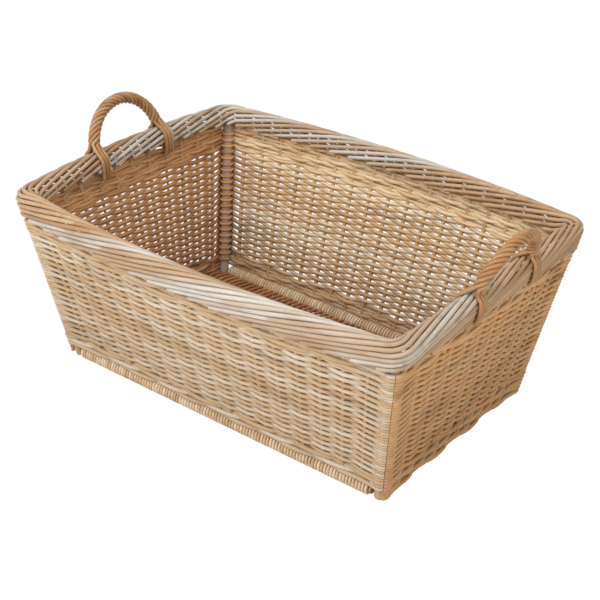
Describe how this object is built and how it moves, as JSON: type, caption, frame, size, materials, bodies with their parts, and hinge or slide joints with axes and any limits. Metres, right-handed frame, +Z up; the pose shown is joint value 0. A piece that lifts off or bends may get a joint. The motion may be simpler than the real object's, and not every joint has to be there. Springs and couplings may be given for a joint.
{
  "type": "willow garden basket",
  "caption": "Rectangular woven willow garden basket with flared, bowed walls, a rolled rod border and a fixed roped bow handle on each short end.",
  "frame": {"origin": "on the ground under the middle of the basket", "axes": "+X along the long sides towards the right handle, +Y towards the back wall, +Z up"},
  "size_m": [0.667, 0.4886, 0.3266],
  "materials": {
    "post": "satin",
    "base_stick": "satin",
    "base_weave": "satin",
    "stake": "satin",
    "wale": "satin",
    "siding": "satin",
    "border": "satin",
    "handle": "satin"
  },
  "bodies": {
    "root": {"post_front_left": "post", "post_front_right": "post", "post_back_left": "post", "post_back_right": "post", "base_stick_front": "base_stick", "base_stick_back": "base_stick", "base_stick_1": "base_stick", "base_stick_2": "base_stick", "base_stick_3": "base_stick", "base_stick_4": "base_stick", "base_stick_5": "base_stick", "base_stick_6": "base_stick", "base_stick_7": "base_stick", "base_weave": "base_weave", "stakes_front": "stake", "stakes_right": "stake", "stakes_back": "stake", "stakes_left": "stake", "foot_wale_front": "wale", "foot_wale_right": "wale", "foot_wale_back": "wale", "foot_wale_left": "wale", "siding_front": "siding", "siding_right": "siding", "siding_back": "siding", "siding_left": "siding", "top_wale_front": "wale", "top_wale_right": "wale", "top_wale_back": "wale", "top_wale_left": "wale", "border_front": "border", "border_right": "border", "border_back": "border", "border_left": "border", "handle_bow_right": "handle", "handle_rope_right": "handle", "handle_ties_right": "handle", "handle_bow_left": "handle", "handle_rope_left": "handle", "handle_ties_left": "handle"}
  },
  "joints": []
}
